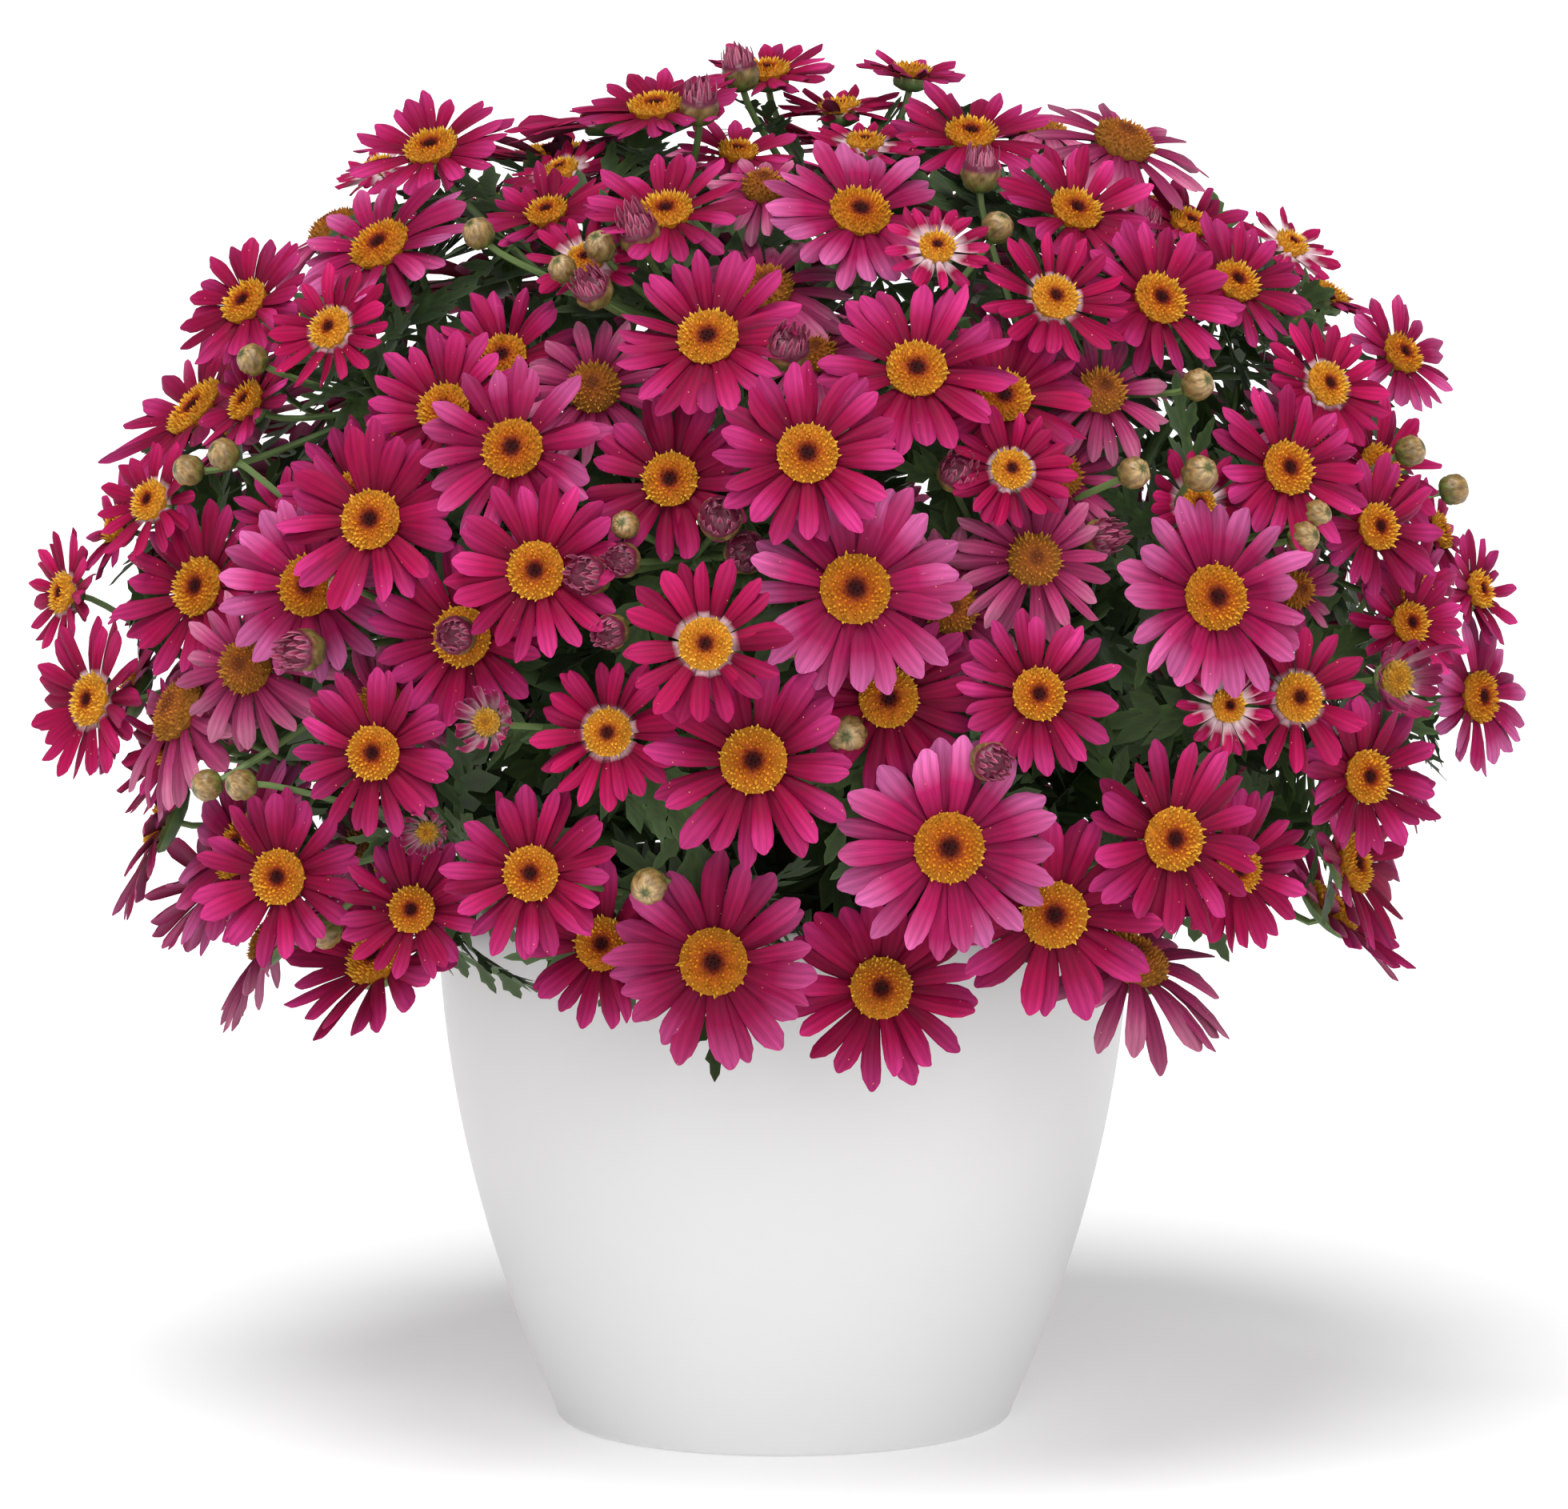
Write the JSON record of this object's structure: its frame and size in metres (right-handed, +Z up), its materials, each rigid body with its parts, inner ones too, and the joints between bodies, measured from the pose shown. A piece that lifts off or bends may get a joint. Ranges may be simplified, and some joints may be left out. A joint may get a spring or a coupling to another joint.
{
  "type": "potted marguerite daisy",
  "caption": "Bushy marguerite daisy in full magenta flower on branching leafy stems, in a smooth white tapering planter",
  "frame": {"origin": "centre of the flat underside of the planter, on the surface that it stands on", "axes": "+Z is up along the planter's axis, the fullest side of the flowers faces -Y, +X is to the right from there"},
  "size_m": [0.4113, 0.4097, 0.3798],
  "materials": {
    "pot_plastic": "satin",
    "potting_mix": "matte",
    "stem_green": "matte",
    "petal_magenta": "matte"
  },
  "bodies": {
    "root": {"pot": "pot_plastic", "soil": "potting_mix", "leafy_stem_01": "stem_green", "leafy_stem_02": "stem_green", "leafy_stem_03": "stem_green", "leafy_stem_04": "stem_green", "leafy_stem_05": "stem_green", "leafy_stem_06": "stem_green", "leafy_stem_07": "stem_green", "leafy_stem_08": "stem_green", "leafy_stem_09": "stem_green", "leafy_stem_10": "stem_green", "flower_spray_01": "petal_magenta", "flower_spray_02": "petal_magenta", "flower_spray_03": "petal_magenta", "flower_spray_04": "petal_magenta", "flower_spray_05": "petal_magenta", "flower_spray_06": "petal_magenta", "flower_spray_07": "petal_magenta", "flower_spray_08": "petal_magenta", "flower_spray_09": "petal_magenta", "flower_spray_10": "petal_magenta", "flower_spray_11": "petal_magenta", "flower_spray_12": "petal_magenta", "flower_spray_13": "petal_magenta", "flower_spray_14": "petal_magenta", "flower_spray_15": "petal_magenta", "flower_spray_16": "petal_magenta", "flower_spray_17": "petal_magenta", "flower_spray_18": "petal_magenta", "flower_spray_19": "petal_magenta", "flower_spray_20": "petal_magenta", "flower_spray_21": "petal_magenta", "flower_spray_22": "petal_magenta", "flower_spray_23": "petal_magenta", "flower_spray_24": "petal_magenta", "flower_spray_25": "petal_magenta", "flower_spray_26": "petal_magenta", "flower_spray_27": "petal_magenta", "flower_spray_28": "petal_magenta", "flower_spray_29": "petal_magenta", "flower_spray_30": "petal_magenta", "flower_spray_31": "petal_magenta", "flower_spray_32": "petal_magenta", "flower_spray_33": "petal_magenta", "flower_spray_34": "petal_magenta", "flower_spray_35": "petal_magenta", "flower_spray_36": "petal_magenta", "flower_spray_37": "petal_magenta", "flower_spray_38": "petal_magenta", "flower_spray_39": "petal_magenta", "flower_spray_40": "petal_magenta", "flower_spray_41": "petal_magenta", "flower_spray_42": "petal_magenta", "flower_spray_43": "petal_magenta", "flower_spray_44": "petal_magenta", "flower_spray_45": "petal_magenta", "flower_spray_46": "petal_magenta"}
  },
  "joints": []
}
